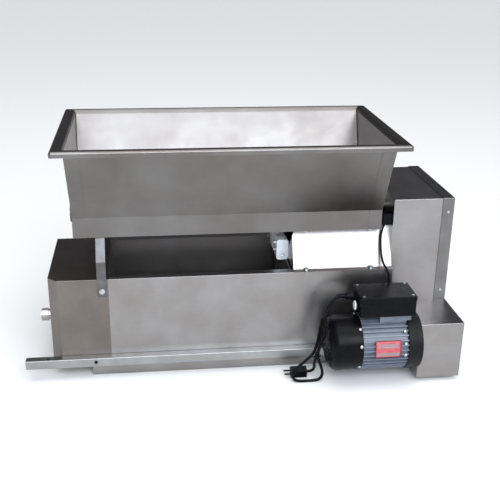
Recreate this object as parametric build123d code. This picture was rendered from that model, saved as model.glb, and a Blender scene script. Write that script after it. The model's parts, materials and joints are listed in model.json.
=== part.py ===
from build123d import *
import math
import os

# Motor-driven grape crusher and destemmer with a screw-fed hopper, crushing rollers and a beater cage.
# Every length is in millimetres. X runs along the machine towards the drive end, Y runs from the
# operator's side to the back, Z is up. Shapes are made on the machine's own datum: X 0 is the middle
# of the hopper, Y 0 the vertical plane through the beater shaft and Z 0 the foot of the must skirt.
# The whole machine is then moved so that the origin is the middle of its footprint.

# ---- driving dimensions ------------------------------------------------------------------------
sheet = 2.0  # stainless sheet thickness
slip = 0.08  # radial clearance of a journal in its bush
bolt_clear = 0.3  # radial clearance of a bolt in its hole
fit_gap = 0.2  # room left round a piece that drops into another
bolt_radius, bolt_head = 3.0, 4.0

hopper_long, hopper_wide, hopper_top = 900.0, 500.0, 660.0  # outside of the rim
rim_flange, rim_end, rim_lip, rim_bend = 25.0, 30.0, 15.0, 7.0
rim_flare = [(-10.0, 0.0), (-4.0, 3.5), (0.0, 9.0)]  # height from the rim and how far the throat opens there
corner_lap, lap_thick = 36.0, 1.0  # end sheets folded round on to the long sides
side_lean, hopper_foot_wide, hopper_foot = 4.0, 260.0, 396.0
hopper_band, hopper_corner, hopper_ledge = 55.0, 5.0, 20.0

body_wide, body_top, body_bottom = 320.0, 288.0, 42.0
body_past_hopper, casing_long, casing_chamfer = 40.0, 160.0, 25.0
top_fold = 25.0
outlet_radius, outlet_ring, spider_thick, spider_bar, spider_hub = 64.0, 8.0, 3.0, 16.0, 26.0

rail_size, rail_wall, rail_past_body, rail_bottom = 25.0, 1.5, 70.0, 40.0
rear_rail_short = 40.0  # how much less the rear rail reaches past the body
skirt_under_casing, skirt_short, skirt_top, skirt_hem = 54.0, 20.0, 72.0, 8.0

cage_radius, cage_thick, beater_height = 100.0, 1.5, 116.0  # inside of the cage, and its axis
hole_radius, hole_columns, hole_rows, hole_spread = 10.0, 20, 6, 150.0

beater_shaft_radius, arm_radius, paddle_clear = 15.0, 5.0, 7.0
paddle_count, paddle_turn, paddle_end_gap, paddle_far_gap = 20, 60.0, 22.0, 54.0
tip_long, tip_deep, tip_thick = 34.0, 29.0, 5.0
beater_stub, collar_over, collar_long = 42.0, 3.0, 18.0  # shaft end and its locking collar outside the outlet

roller_radius, roller_gap, roller_height = 37.0, 6.0, 328.0
flute_count, flute_radius = 12, 5.0
roller_box_long, roller_box_inset, roller_side_gap = 248.0, 30.0, 2.0
chute_narrow, foot_inset, foot_wide, foot_bolt_out = 34.4, 15.0, 19.0, 7.0
deflector_drop, deflector_lean = 49.0, 15.0
roller_shaft_radius = 10.0
block_long, block_wide, block_low, block_high = 34.0, 44.0, 41.0, 19.0
bush_wall, bush_long = 12.0, 12.0
gear_teeth, gear_face, gear_gap = 20, 16.0, 3.0
tooth_root_wide, tooth_tip_wide = 4.4, 2.2

auger_height, auger_radius, trough_clear = 424.0, 42.0, 4.0
auger_shaft_radius, auger_pitch, flight_thick = 12.0, 70.0, 3.0
auger_overhang, trough_rise = 18.0, 22.0

guard_long, guard_front, guard_back, guard_bottom, guard_top = 170.0, -130.0, 195.0, 14.0, 480.0
lid_lap = 33.0
nose_step, nose_ahead, nose_belt_room = 50.0, 42.0, 20.087  # lower housing that holds the motor pulley

motor_rail_clear, motor_z, motor_radius = 2.2432, 114.0, 76.0
cover_long, frame_long, shield_thick = 85.0, 147.0, 16.0
frame_core_radius, frame_bore_radius, motor_fins, fin_thick = 68.0, 60.0, 36, 3.0
pad_start, pad_long, pad_half = 51.0, 86.0, 30.0
rotor_radius, stator_gap, stator_inset = 36.0, 0.6, 22.0
motor_shaft_radius, motor_bolt_reach, fan_radius, fan_blades = 9.5, 46.0, 58.0, 8
cover_dome, cover_slots = 26.0, 4
plate_start, plate_long, plate_low, plate_high = 31.0, 70.0, -13.0, 34.0  # rating plate on the motor

belt_high, belt_wide, rim_over, groove_clear = 8.0, 9.0, 5.0, 0.5
motor_pulley_pitch, beater_pulley_pitch = 20.0, 55.0
beater_small_pitch, roller_pulley_pitch = 25.0, 65.0
roller_small_pitch, auger_pulley_pitch = 22.0, 42.0
first_belt, belt_step = 79.0, 28.0  # from the drive plate to the first belt, and on to the next
shaft_stub = 14.0  # shaft left past the middle of its last pulley

box_long, box_ahead, box_behind, box_over_motor = 151.0, 44.0, 51.0, 16.0  # motor terminal box
box_wall, box_deep, lid_thick, box_past_frame = 3.0, 44.0, 12.0, 7.0
button_ahead, button_up, button_radius, button_stem = 4.0, 19.0, 13.0, 5.0
button_thick, button_travel, bezel_radius, bezel_long = 6.0, 3.0, 17.0, 6.0
gland_behind, gland_up, gland_long = 30.0, 32.0, 26.0
cord_radius, switch_cable_radius = 4.0, 3.0
cable_boss, cable_along, cable_up = 8.0, 105.0, 34.0
switch_long, switch_from_foot, switch_over_foot = 26.0, 22.0, 9.0

strap_wide, strap_thick, strap_past_seam = 25.0, 3.0, -4.0
strap_bend, strap_foot, strap_bolt, strap_tab = 338.0, 238.0, 254.0, 20.0

# Routes of the flexible leads, chosen by hand
cord_route = [(304, -216, 238), (283, -216, 238), (264, -226, 225), (251, -238, 202), (241, -248, 174)]
hank_outline = [
    (232, 174), (248, 174), (243, 122), (234, 84), (238, 50), (235, 14), (226, 0.5), (176, 0.5),
    (162, 4), (158, 14), (170, 38), (212, 76), (226, 122),
]
hank_front, hank_back = -262.0, -236.0
plug_left, plug_long, plug_deep, plug_high, pin_long = 160.0, 44.0, 28.0, 26.0, 18.0
cable_route = [
    (432, -108, 405), (427, -109, 391), (421, -115, 370), (419, -128, 346), (419, -142, 320),
    (421, -160, 304), (427, -174, 295), (433, -182, 279), (435, -182, 258), (435, -187, 240),
]

# ---- sizes that follow ---------------------------------------------------------------------------
hopper_foot_long = hopper_long - 2 * (rim_end + side_lean)
half_body, half_foot_long, half_foot_wide = body_wide / 2, hopper_foot_long / 2, hopper_foot_wide / 2
band_top = hopper_foot + hopper_band
throat_long, throat_wide = hopper_long - 2 * rim_end, hopper_wide - 2 * rim_flange
half_skirt = half_body - sheet

body_left, body_right = -hopper_long / 2 - body_past_hopper, hopper_long / 2
casing_right = body_left + casing_long
plate_right = body_right + 3.0  # outer face of the drive plate
rail_left, rail_right = body_left - rail_past_body, body_right - 5
skirt_left, skirt_right = casing_right - skirt_under_casing, body_right - skirt_short

paddle_tip_radius = cage_radius - paddle_clear
paddle_first, paddle_last = skirt_left + paddle_end_gap, body_right - paddle_far_gap
paddle_step = (paddle_last - paddle_first) / (paddle_count - 1)

roller_y = roller_radius + roller_gap / 2
roller_box_right = body_right - roller_box_inset
roller_box_left = roller_box_right - roller_box_long
hood_right = roller_box_left - 7
chute_in, chute_out = half_foot_wide - chute_narrow, half_body - foot_inset
deflector_in = chute_in - deflector_lean
chute_bolt_x = (roller_box_left + 35.0, roller_box_right - 32.0)
chute_foot_y, chute_top_y = chute_out + foot_bolt_out, half_foot_wide - 12.0
block_left = roller_box_left - block_long
block_bolt_y, block_bolt_z = roller_y + 15.0, (roller_height + 12.0, roller_height - 10.0)
bush_radius = roller_shaft_radius + bush_wall

trough_radius = auger_radius + trough_clear
auger_left, auger_right = -half_foot_long + hopper_ledge, roller_box_left + auger_overhang

rail_top = rail_bottom + rail_size
motor_over_rail = motor_z - rail_top
motor_y = -half_body - rail_size - math.sqrt((motor_radius + motor_rail_clear) ** 2 - motor_over_rail ** 2)
guard_right = body_right + guard_long
lid_left = guard_right - lid_lap
belt_turn = math.atan2(beater_height - motor_z, -motor_y) + math.acos(
    (motor_pulley_pitch - beater_pulley_pitch) / math.hypot(motor_y, beater_height - motor_z)
)
belt_reach = motor_pulley_pitch + belt_high / 2 + (motor_y - guard_front) * math.cos(belt_turn)
belt_at_guard = motor_z + belt_reach / math.sin(belt_turn)  # height of the drive belt at the front of the guard
nose_left, nose_front, nose_top = body_right + nose_step, motor_y - nose_ahead, belt_at_guard + nose_belt_room
motor_frame_right = nose_left - shield_thick
motor_frame_left = motor_frame_right - frame_long
motor_left = motor_frame_left - cover_long
pad_left, pad_right = motor_frame_left + pad_start, motor_frame_left + pad_start + pad_long
stator_bore_radius = rotor_radius + stator_gap
stator_left, stator_right = motor_frame_left + stator_inset, motor_frame_right - stator_inset
plate_left, plate_end = motor_frame_left + plate_start, motor_frame_left + plate_start + plate_long

drive_belt_x = plate_right + first_belt
roller_belt_x, auger_belt_x = drive_belt_x + belt_step, drive_belt_x + 2 * belt_step
pulley_wide = belt_wide + 9.0

box_left, box_right = motor_frame_left - box_past_frame, motor_frame_left - box_past_frame + box_long
box_front, box_back = motor_y - box_ahead, motor_y + box_behind
box_bottom = motor_z + motor_radius + box_over_motor
box_lid_foot, box_top = box_bottom + box_deep, box_bottom + box_deep + lid_thick
button_y, button_z = motor_y - button_ahead, box_bottom + button_up
gland_y, gland_z = motor_y + gland_behind, box_bottom + gland_up

strap_left = casing_right + strap_past_seam - strap_wide
strap_mid = strap_left + strap_wide / 2

origin_x = (rail_left + guard_right) / 2
origin_y = (motor_y - motor_radius - 1.0 + hopper_wide / 2) / 2


def block(x0, x1, y0, y1, z0, z1):
    return Pos((x0 + x1) / 2, (y0 + y1) / 2, (z0 + z1) / 2) * Box(x1 - x0, y1 - y0, z1 - z0)


def rod_x(radius, x0, x1, y, z):
    return Pos((x0 + x1) / 2, y, z) * Rot(0, 90, 0) * Cylinder(radius, x1 - x0)


def rod_y(radius, y0, y1, x, z):
    return Pos(x, (y0 + y1) / 2, z) * Rot(90, 0, 0) * Cylinder(radius, y1 - y0)


def rod_z(radius, z0, z1, x, y):
    return Pos(x, y, (z0 + z1) / 2) * Cylinder(radius, z1 - z0)


def tube_x(outer, inner, x0, x1, y, z):
    return rod_x(outer, x0, x1, y, z) - rod_x(inner, x0 - 1, x1 + 1, y, z)


def prism_x(points, x0, x1):
    """A closed outline of (y, z) points, drawn out from x0 to x1."""
    face = make_face(Polyline(*[(x0, y, z) for y, z in points], close=True))
    return extrude(face, amount=x1 - x0, dir=(1, 0, 0))


def prism_y(points, y0, y1):
    face = make_face(Polyline(*[(x, y0, z) for x, z in points], close=True))
    return extrude(face, amount=y1 - y0, dir=(0, 1, 0))


def prism_z(points, z0, z1):
    face = make_face(Polyline(*[(x, y, z0) for x, y in points], close=True))
    return extrude(face, amount=z1 - z0, dir=(0, 0, 1))


def spin_x(points, y, z):
    """A solid of revolution about the X line through (y, z), from (x, radius) points."""
    face = make_face(Polyline(*[(x, radius, 0) for x, radius in points], close=True))
    return Pos(0, y, z) * revolve(face, Axis.X, 360)


def side_plane(x):
    """A sketch plane across the shafts: its own x and y run along the machine's Y and Z."""
    return Plane(origin=(x, 0, 0), x_dir=(0, 1, 0), z_dir=(1, 0, 0))


def bolt(place, outward, grip, radius=bolt_radius, head=bolt_head):
    """A hexagon bolt: the head stands out from place and the shank runs grip the other way."""
    out = Plane(origin=place, z_dir=outward)
    inward = Plane(origin=place, z_dir=tuple(-v for v in outward))
    cap = extrude(out * RegularPolygon(1.7 * radius, 6, major_radius=False), amount=head)
    return cap + extrude(inward * Circle(radius), amount=grip)


def group(shapes):
    """Separate solids that share one node."""
    return Compound([piece for shape in shapes for piece in shape.solids()])


def mirrored(shape):
    return mirror(shape, Plane.XZ)


# ---- hopper ----------------------------------------------------------------------------------------
def bin_solid(inset):
    """The hopper's outside as a solid, or the space inside it when inset is the sheet."""
    corner = hopper_corner - inset
    foot = Pos(0, 0, band_top) * RectangleRounded(
        hopper_foot_long - 2 * inset, hopper_foot_wide - 2 * inset, corner
    )
    mouth = Pos(0, 0, hopper_top) * RectangleRounded(throat_long - 2 * inset, throat_wide - 2 * inset, corner)
    return loft([foot, mouth], ruled=True) + extrude(foot, amount=-hopper_band)


def rim_solid(inset, drop):
    """The folded rim's outside, or its hollow underside."""
    height = rim_lip + drop - inset
    middle = hopper_top - inset - height / 2
    rim = Pos(0, 0, middle) * Box(hopper_long - 2 * inset, hopper_wide - 2 * inset, height)
    edges = rim.edges().filter_by(Axis.Z) + rim.faces().sort_by(Axis.Z)[-1].edges()
    return fillet(edges, rim_bend - inset)


def flare_solid(inset):
    """The mouth of the bin, opening out in two steps under the rim."""
    steps = [
        Pos(0, 0, hopper_top + up) * RectangleRounded(
            throat_long + 2 * (out - inset), throat_wide + 2 * (out - inset), hopper_corner - inset + out / 2
        )
        for up, out in rim_flare
    ]
    return loft(steps, ruled=True)


def corner_laps():
    """Where the end sheets are folded on to the long sides, from the foot up to the rim's lip."""
    lap_top = hopper_top - rim_lip - 2
    lean = (throat_wide - hopper_foot_wide) / 2 / (hopper_top - band_top)
    wall_top = half_foot_wide + (lap_top - band_top) * lean
    outline = [
        (-half_foot_wide + 1, hopper_foot), (-half_foot_wide - lap_thick, hopper_foot),
        (-half_foot_wide - lap_thick, band_top), (-wall_top - lap_thick, lap_top),
        (-wall_top + 1, lap_top), (-half_foot_wide + 1, band_top),
    ]
    laps = prism_x(outline, -half_foot_long, -half_foot_long + corner_lap)
    laps += prism_x(outline, half_foot_long - corner_lap, half_foot_long)
    return laps + mirrored(laps)


def hopper():
    space = bin_solid(sheet) + flare_solid(sheet)
    walls = bin_solid(0) + flare_solid(0) + (rim_solid(0, 0) - rim_solid(sheet, 1.0)) + corner_laps() - space
    ledge = Pos(0, 0, hopper_foot) * (
        RectangleRounded(hopper_foot_long - sheet, hopper_foot_wide - sheet, hopper_corner - sheet / 2)
        - Rectangle(hopper_foot_long - 2 * hopper_ledge, hopper_foot_wide - 2 * hopper_ledge)
    )
    walls += extrude(ledge, amount=sheet)
    walls -= rod_x(
        trough_radius + sheet + fit_gap, -half_foot_long + sheet, hopper_ledge - half_foot_long + 1,
        0, auger_height,
    )
    walls -= rod_x(
        auger_shaft_radius + 2, -half_foot_long - 5, half_foot_long + 5, 0, auger_height
    )
    for x, y in [(x, chute_top_y) for x in chute_bolt_x] + [(strap_mid, chute_top_y)]:
        for side in (-y, y):
            walls -= rod_z(bolt_radius + bolt_clear, hopper_foot - 1, hopper_foot + 3, x, side)
    return walls


def auger_trough():
    wing = half_foot_wide - sheet - fit_gap
    rise = auger_height + trough_rise
    left, right = -half_foot_long + sheet + fit_gap, roller_box_left
    outer = prism_x(
        [
            (-wing, rise), (-wing, rise - sheet), (-trough_radius - sheet, auger_height - sheet),
            (trough_radius + sheet, auger_height - sheet), (wing, rise - sheet), (wing, rise),
        ],
        left,
        right,
    )
    outer += rod_x(trough_radius + sheet, left, right, 0, auger_height)
    hollow = prism_x(
        [(-wing, rise), (-trough_radius, auger_height), (trough_radius, auger_height), (wing, rise)],
        left,
        right,
    )
    hollow += rod_x(trough_radius, left, right, 0, auger_height)
    hollow += block(left, right, -wing, wing, rise, rise + trough_radius)
    corner = Pos((left + right) / 2 + hopper_corner, 0, rise) * Box(
        right - left + 2 * hopper_corner, 2 * wing, 4 * trough_radius
    )
    corner = fillet(corner.edges().filter_by(Axis.Z), hopper_corner - sheet)
    return (outer - hollow) & corner


def feed_auger():
    turns_long = auger_right - auger_left
    shaft_end = auger_belt_x + shaft_stub
    shaft = rod_x(auger_shaft_radius, -half_foot_long - 16, shaft_end, 0, auger_height)
    path = Helix(pitch=auger_pitch, height=turns_long, radius=auger_shaft_radius, direction=(0, 0, 1))
    middle = (auger_radius + auger_shaft_radius - 2) / 2
    depth = auger_radius - auger_shaft_radius + 2
    start = Plane(origin=(middle, 0, 0), x_dir=(1, 0, 0), z_dir=(0, 1, 0))
    flight = sweep(start * Rectangle(depth, flight_thick), path=path, is_frenet=True)
    flight = Pos(auger_left, 0, auger_height) * Rot(0, 90, 0) * flight
    return shaft + flight


def auger_bearings():
    bore = auger_shaft_radius + slip
    left = tube_x(26, bore, -half_foot_long - 14, -half_foot_long, 0, auger_height)
    right = tube_x(24, bore, plate_right, plate_right + 14, 0, auger_height)
    return group([left, right])


# ---- trough that holds the beater --------------------------------------------------------------------
def bulkhead(x0, x1):
    """The flange at the seam between the two lengths of the body, open for the cage."""
    plate = block(x0, x1, -half_skirt, half_skirt, skirt_top + 0.5, body_top - sheet)
    return plate - rod_x(cage_radius, x0 - 1, x1 + 1, 0, beater_height)


def body_shell():
    wall = block(casing_right, body_right, -half_body, -half_body + sheet, body_bottom, body_top)
    fold = block(casing_right, body_right, -half_body, -half_body + top_fold, body_top - sheet, body_top)
    end = block(body_right - sheet, body_right, -half_body, half_body, body_bottom, body_top)
    shell = wall + fold + mirrored(wall) + mirrored(fold) + end + bulkhead(casing_right, casing_right + sheet)
    shell -= rod_x(beater_shaft_radius + 4, body_right - 5, body_right + 5, 0, beater_height)
    for x in chute_bolt_x:
        for y in (-chute_foot_y, chute_foot_y):
            shell -= rod_z(bolt_radius + bolt_clear, body_top - 5, body_top + 5, x, y)
    return shell


def casing_plan(inset):
    cut = casing_chamfer - 0.6 * inset
    left, wide, right = body_left + inset, half_body - inset, casing_right
    return [(right, -wide), (left + cut, -wide), (left, -wide + cut), (left, wide), (right, wide)]


def stalk_casing():
    casing = prism_z(casing_plan(0), body_bottom, body_top)
    casing -= prism_z(casing_plan(sheet), body_bottom + sheet, body_top - sheet)
    casing -= block(skirt_left, casing_right + 1, -half_skirt, half_skirt, body_bottom - 1, body_top - sheet)
    casing += bulkhead(casing_right - sheet, casing_right)
    casing -= rod_x(outlet_radius, body_left - 5, body_left + 5, 0, beater_height)
    for y in (-half_body, half_body):
        casing -= rod_y(bolt_radius + bolt_clear, y - 5, y + 5, strap_mid, strap_bolt)
    return casing


def bearing_spider():
    """Carries the beater shaft across the stalk outlet."""
    x0, x1 = body_left - spider_thick, body_left
    ring = tube_x(outlet_radius + outlet_ring, outlet_radius - 4, x0, x1, 0, beater_height)
    reach = outlet_radius
    ring += block(x0, x1, -reach, reach, beater_height - spider_bar / 2, beater_height + spider_bar / 2)
    ring += block(x0, x1, -spider_bar / 2, spider_bar / 2, beater_height - reach, beater_height + reach)
    ring += rod_x(spider_hub, x0 - 12, x1, 0, beater_height)
    return ring - rod_x(beater_shaft_radius + slip, x0 - 20, x1 + 5, 0, beater_height)


def drive_plate():
    plate = block(
        body_right, plate_right, guard_front + sheet, guard_back - sheet, guard_bottom, guard_top - sheet
    )
    plate -= rod_x(beater_shaft_radius + 4, body_right - 5, plate_right + 5, 0, beater_height)
    plate -= rod_x(auger_shaft_radius + 3, body_right - 5, plate_right + 5, 0, auger_height)
    for y in (-roller_y, roller_y):
        plate -= rod_x(roller_shaft_radius + 3, body_right - 5, plate_right + 5, y, roller_height)
    return plate


def beater_cage():
    left, right = casing_right + sheet, body_right - sheet
    cage = tube_x(cage_radius + cage_thick, cage_radius, left, right, 0, beater_height)
    cage -= block(left - 1, right + 1, -200, 200, beater_height, beater_height + 200)
    pitch = (right - left) / hole_columns
    for column in range(hole_columns):
        for row in range(hole_rows):
            turn = -90 - hole_spread / 2 + hole_spread * (row + 0.5) / hole_rows
            x = left + pitch * (column + 0.5)
            drill = Rot(turn + 90, 0, 0) * Pos(0, 0, -cage_radius) * Cylinder(hole_radius, 8)
            cage -= Pos(x, 0, beater_height) * drill
    return cage


def cage_hood():
    left = casing_right + sheet
    hood = tube_x(cage_radius + cage_thick, cage_radius, left, hood_right, 0, beater_height)
    hood -= block(left - 1, hood_right + 1, -200, 200, beater_height - 200, beater_height)
    return hood


def feed_guides():
    """Sloping sheets that lead the crushed fruit into the cage, and the wall at their left end."""
    low, high = cage_radius + cage_thick, half_body - sheet
    top = body_top - sheet
    left, right = hood_right + sheet, body_right - sheet
    side = prism_x(
        [(low, beater_height), (high, top - 20), (high, top), (high - 2, top), (low - 2, beater_height + 3)],
        left,
        right,
    )
    wall = prism_x([(-high, top), (high, top), (high, top - 20), (low, beater_height), (-low, beater_height),
                    (-high, top - 20)], hood_right, left)
    wall -= rod_x(cage_radius, hood_right - 1, left + 1, 0, beater_height)
    return side + mirrored(side) + wall


def must_skirt():
    outer = block(skirt_left, skirt_right, -half_skirt, half_skirt, 0, skirt_top)
    inner = block(
        skirt_left + sheet, skirt_right - sheet, -half_skirt + sheet, half_skirt - sheet, sheet, skirt_top + 1
    )
    mouth = block(
        skirt_left + skirt_hem, skirt_right - skirt_hem, -half_skirt + skirt_hem, half_skirt - skirt_hem,
        -1, sheet + 1,
    )
    skirt = outer - inner - mouth
    for x in (skirt_left, skirt_right):
        skirt -= rod_x(cage_radius + cage_thick + 1, x - 5, x + 5, 0, beater_height)
    return skirt


def rail(side):
    near, far = side * half_body, side * (half_body + rail_size)
    y0, y1 = min(near, far), max(near, far)
    z0, z1 = rail_bottom, rail_bottom + rail_size
    left = rail_left if side < 0 else rail_left + rear_rail_short
    bar = block(left, rail_right, y0, y1, z0, z1)
    bar -= block(left + 3, rail_right - 3, y0 + rail_wall, y1 - rail_wall, z0 + rail_wall, z1 - rail_wall)
    for x in (rail_left + 60, rail_right - 60):
        bar -= rod_z(4.5, z0 - 1, z1 + 1, x, (y0 + y1) / 2)
    return bar


# ---- beater ------------------------------------------------------------------------------------------
def beater_shaft():
    left = body_left - beater_stub
    shaft = rod_x(beater_shaft_radius, left, roller_belt_x + shaft_stub, 0, beater_height)
    return shaft + rod_x(beater_shaft_radius + collar_over, left + 2, left + 2 + collar_long, 0, beater_height)


def paddle_places():
    for number in range(paddle_count):
        x = paddle_first + paddle_step * number
        yield Pos(x, 0, beater_height) * Rot(paddle_turn * number, 0, 0)


def beater_arms():
    top = paddle_tip_radius - tip_deep
    arm = rod_z(arm_radius, 0, top, 0, 0) - rod_x(beater_shaft_radius, -2 * arm_radius, 2 * arm_radius, 0, 0)
    return group([place * arm for place in paddle_places()])


def beater_paddles():
    top = paddle_tip_radius
    tip = block(-tip_long / 2, tip_long / 2, -tip_thick / 2, tip_thick / 2, top - tip_deep, top - 1)
    tip = fillet(tip.edges().filter_by(Axis.Y), 3)
    return group([place * tip for place in paddle_places()])


def beater_bearing():
    flange = tube_x(38, beater_shaft_radius + slip, plate_right, plate_right + 8, 0, beater_height)
    return flange + tube_x(28, beater_shaft_radius + slip, plate_right, plate_right + 24, 0, beater_height)


# ---- crushing rollers --------------------------------------------------------------------------------
def roller(y, shaft_right):
    left, right = roller_box_left + sheet + roller_side_gap, roller_box_right - sheet - roller_side_gap
    drum = rod_x(roller_radius, left, right, y, roller_height)
    for number in range(flute_count):
        turn = math.radians(360 * (number + 0.5) / flute_count)
        drum -= rod_x(
            flute_radius,
            left - 1,
            right + 1,
            y + (roller_radius + 1) * math.cos(turn),
            roller_height + (roller_radius + 1) * math.sin(turn),
        )
    return drum + rod_x(roller_shaft_radius, block_left + 2, shaft_right, y, roller_height)


def gear(y, phase):
    """Spur gear of straight-sided teeth that mesh with room to spare."""
    left = plate_right + gear_gap
    module = 2 * roller_y / gear_teeth
    root, tip = roller_y - 1.15 * module, roller_y + 0.85 * module
    sketch = Circle(root)
    for number in range(gear_teeth):
        tooth = Polygon(
            (root - 1, -tooth_root_wide / 2 - 0.5), (tip, -tooth_tip_wide / 2), (tip, tooth_tip_wide / 2),
            (root - 1, tooth_root_wide / 2 + 0.5), align=None,
        )
        sketch += Rot(0, 0, 360 * number / gear_teeth + phase) * tooth
    sketch -= Circle(roller_shaft_radius)
    wheel = extrude(side_plane(left) * sketch, amount=gear_face)
    return Pos(0, y, roller_height) * wheel


def roller_box():
    """Sheet box that hangs the hopper over the rollers: two leaning sides and two end plates."""
    left, right, side_end = roller_box_left, roller_box_right, body_right - fit_gap
    foot, top = body_top, hopper_foot
    side = block(left, side_end, -chute_out - foot_wide, -chute_out + sheet, foot, foot + sheet)
    side += prism_x(
        [(-chute_out, foot), (-chute_out + sheet, foot), (-chute_in + sheet, top), (-chute_in, top)],
        left,
        side_end,
    )
    side += block(left, right, -half_foot_wide + 2, -chute_in + sheet, top - sheet, top)
    side += prism_x(
        [
            (-chute_in, top), (-chute_in + sheet, top),
            (-deflector_in + sheet, top - deflector_drop), (-deflector_in, top - deflector_drop),
        ],
        left,
        right,
    )
    corners = [(-chute_out, foot), (chute_out, foot), (chute_in, top), (-chute_in, top)]
    end = prism_x(corners, left, left + sheet)
    for y in (-roller_y, roller_y):
        end -= rod_x(roller_shaft_radius + 2, left - 1, left + 5, y, roller_height)
        for z in block_bolt_z:
            end -= rod_x(bolt_radius + bolt_clear, left - 1, left + 5, math.copysign(block_bolt_y, y), z)
    throat = block(left - 1, left + 5, -chute_in + sheet, chute_in - sheet, top - 20, top + 1)
    box = side + mirrored(side) + end + Pos(right - left - sheet, 0, 0) * end
    box -= throat
    for x in chute_bolt_x:
        for y in (-1, 1):
            box -= rod_z(bolt_radius + bolt_clear, foot - 1, foot + 5, x, y * chute_foot_y)
            box -= rod_z(bolt_radius + bolt_clear, top - 5, top + 1, x, y * chute_top_y)
    return box


def roller_blocks():
    """Nylon bearing blocks at the free ends of the rollers."""
    blocks = []
    for y in (-roller_y, roller_y):
        piece = block(
            block_left, roller_box_left, y - block_wide / 2, y + block_wide / 2,
            roller_height - block_low, roller_height + block_high,
        )
        piece = fillet(piece.edges().filter_by(Axis.Y), 8)
        piece -= rod_x(roller_shaft_radius + slip, block_left - 1, roller_box_left + 1, y, roller_height)
        out = math.copysign(1, y)
        piece -= rod_y(6, min(y + out * 12, y + out * 23), max(y + out * 12, y + out * 23),
                       block_left + block_long / 2, roller_height - 27)
        for z in block_bolt_z:
            bolt_y = out * block_bolt_y
            piece -= rod_x(bolt_radius + bolt_clear, block_left - 1, roller_box_left + 1, bolt_y, z)
        blocks.append(piece)
    return group(blocks)


def roller_bushes():
    bore = roller_shaft_radius + slip
    left = body_right - bush_long
    return group([tube_x(bush_radius, bore, left, body_right, y, roller_height) for y in (-roller_y, roller_y)])


# ---- pulleys and belts -------------------------------------------------------------------------------
def pulley(pitch, bore, x, y, z):
    half, groove = pulley_wide / 2, belt_wide / 2 + groove_clear
    rim, floor = pitch + rim_over, pitch - belt_high / 2 - groove_clear
    outline = [
        (x - half, bore), (x - half, rim), (x - groove, rim), (x - groove, floor),
        (x + groove, floor), (x + groove, rim), (x + half, rim), (x + half, bore),
    ]
    return spin_x(outline, y, z)


def wrap(x, wide, ya, za, ra, yb, zb, rb):
    """The solid inside a band stretched round two circles."""
    gap = math.hypot(yb - ya, zb - za)
    aim, lean = math.atan2(zb - za, yb - ya), math.acos((ra - rb) / gap)
    corners = [
        (ya + ra * math.cos(aim + lean), za + ra * math.sin(aim + lean)),
        (yb + rb * math.cos(aim + lean), zb + rb * math.sin(aim + lean)),
        (yb + rb * math.cos(aim - lean), zb + rb * math.sin(aim - lean)),
        (ya + ra * math.cos(aim - lean), za + ra * math.sin(aim - lean)),
    ]
    solid = prism_x(corners, x - wide / 2, x + wide / 2)
    solid += rod_x(ra, x - wide / 2, x + wide / 2, ya, za)
    return solid + rod_x(rb, x - wide / 2, x + wide / 2, yb, zb)


def belt(x, ya, za, ra, yb, zb, rb):
    over = belt_high / 2
    outside = wrap(x, belt_wide, ya, za, ra + over, yb, zb, rb + over)
    return outside - wrap(x, belt_wide + 2, ya, za, ra - over, yb, zb, rb - over)


def drive_belt():
    return belt(
        drive_belt_x, motor_y, motor_z, motor_pulley_pitch, 0, beater_height, beater_pulley_pitch
    )


def roller_belt():
    return belt(
        roller_belt_x, 0, beater_height, beater_small_pitch, -roller_y, roller_height, roller_pulley_pitch
    )


def auger_belt():
    return belt(
        auger_belt_x, -roller_y, roller_height, roller_small_pitch, 0, auger_height, auger_pulley_pitch
    )


# ---- guards ------------------------------------------------------------------------------------------
def guard_housing():
    front, back = guard_front + sheet, guard_back - sheet
    low, high = guard_bottom + sheet, guard_top - sheet
    right = guard_right - sheet - 4
    tall = block(plate_right, right, front, back, low, high)
    nose = block(nose_left, guard_right - sheet, nose_front, front, guard_bottom, nose_top)
    shell = tall + nose
    shell -= block(plate_right - 1, guard_right, front + sheet, back - sheet, low + sheet, high - sheet)
    shell -= block(
        nose_left + sheet, guard_right, nose_front + sheet, front + 2 * sheet,
        guard_bottom + sheet, nose_top - sheet,
    )
    shell -= rod_x(motor_shaft_radius + 8, nose_left - 1, nose_left + 5, motor_y, motor_z)
    for y, z in motor_bolt_places():
        shell -= rod_x(bolt_radius + bolt_clear, nose_left - 1, nose_left + 5, y, z)
    for x, y, z in lid_screw_places():
        shell -= rod_y(bolt_radius - 1 + bolt_clear, y - 8, y + 8, x, z)
    return shell


def guard_lid():
    """Overlapping lid on the belt guard, with a flat lobe that closes the lower housing."""
    lid = block(lid_left, guard_right, guard_front, guard_back, guard_bottom, guard_top)
    lid -= block(
        lid_left - 1, guard_right - sheet, guard_front + sheet, guard_back - sheet,
        guard_bottom + sheet, guard_top - sheet,
    )
    lid -= block(
        lid_left - 1, guard_right - sheet, guard_front - 1, guard_front + sheet + 1,
        guard_bottom - 1, nose_top + 0.5,
    )
    lid += block(guard_right - sheet, guard_right, nose_front, guard_front + sheet, guard_bottom, nose_top)
    for x, y, z in lid_screw_places():
        lid -= rod_y(bolt_radius - 1 + bolt_clear, y - 8, y + 8, x, z)
    return lid


def lid_screw_places():
    x = lid_left + lid_lap / 2
    return [(x, y, z) for y in (guard_front, guard_back) for z in (nose_top + 30, guard_top - 40)]


# ---- motor -------------------------------------------------------------------------------------------
def motor_bolt_places():
    reach = motor_bolt_reach
    for number in range(4):
        turn = math.radians(45 + 90 * number)
        yield motor_y + reach * math.cos(turn), motor_z + reach * math.sin(turn)


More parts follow.
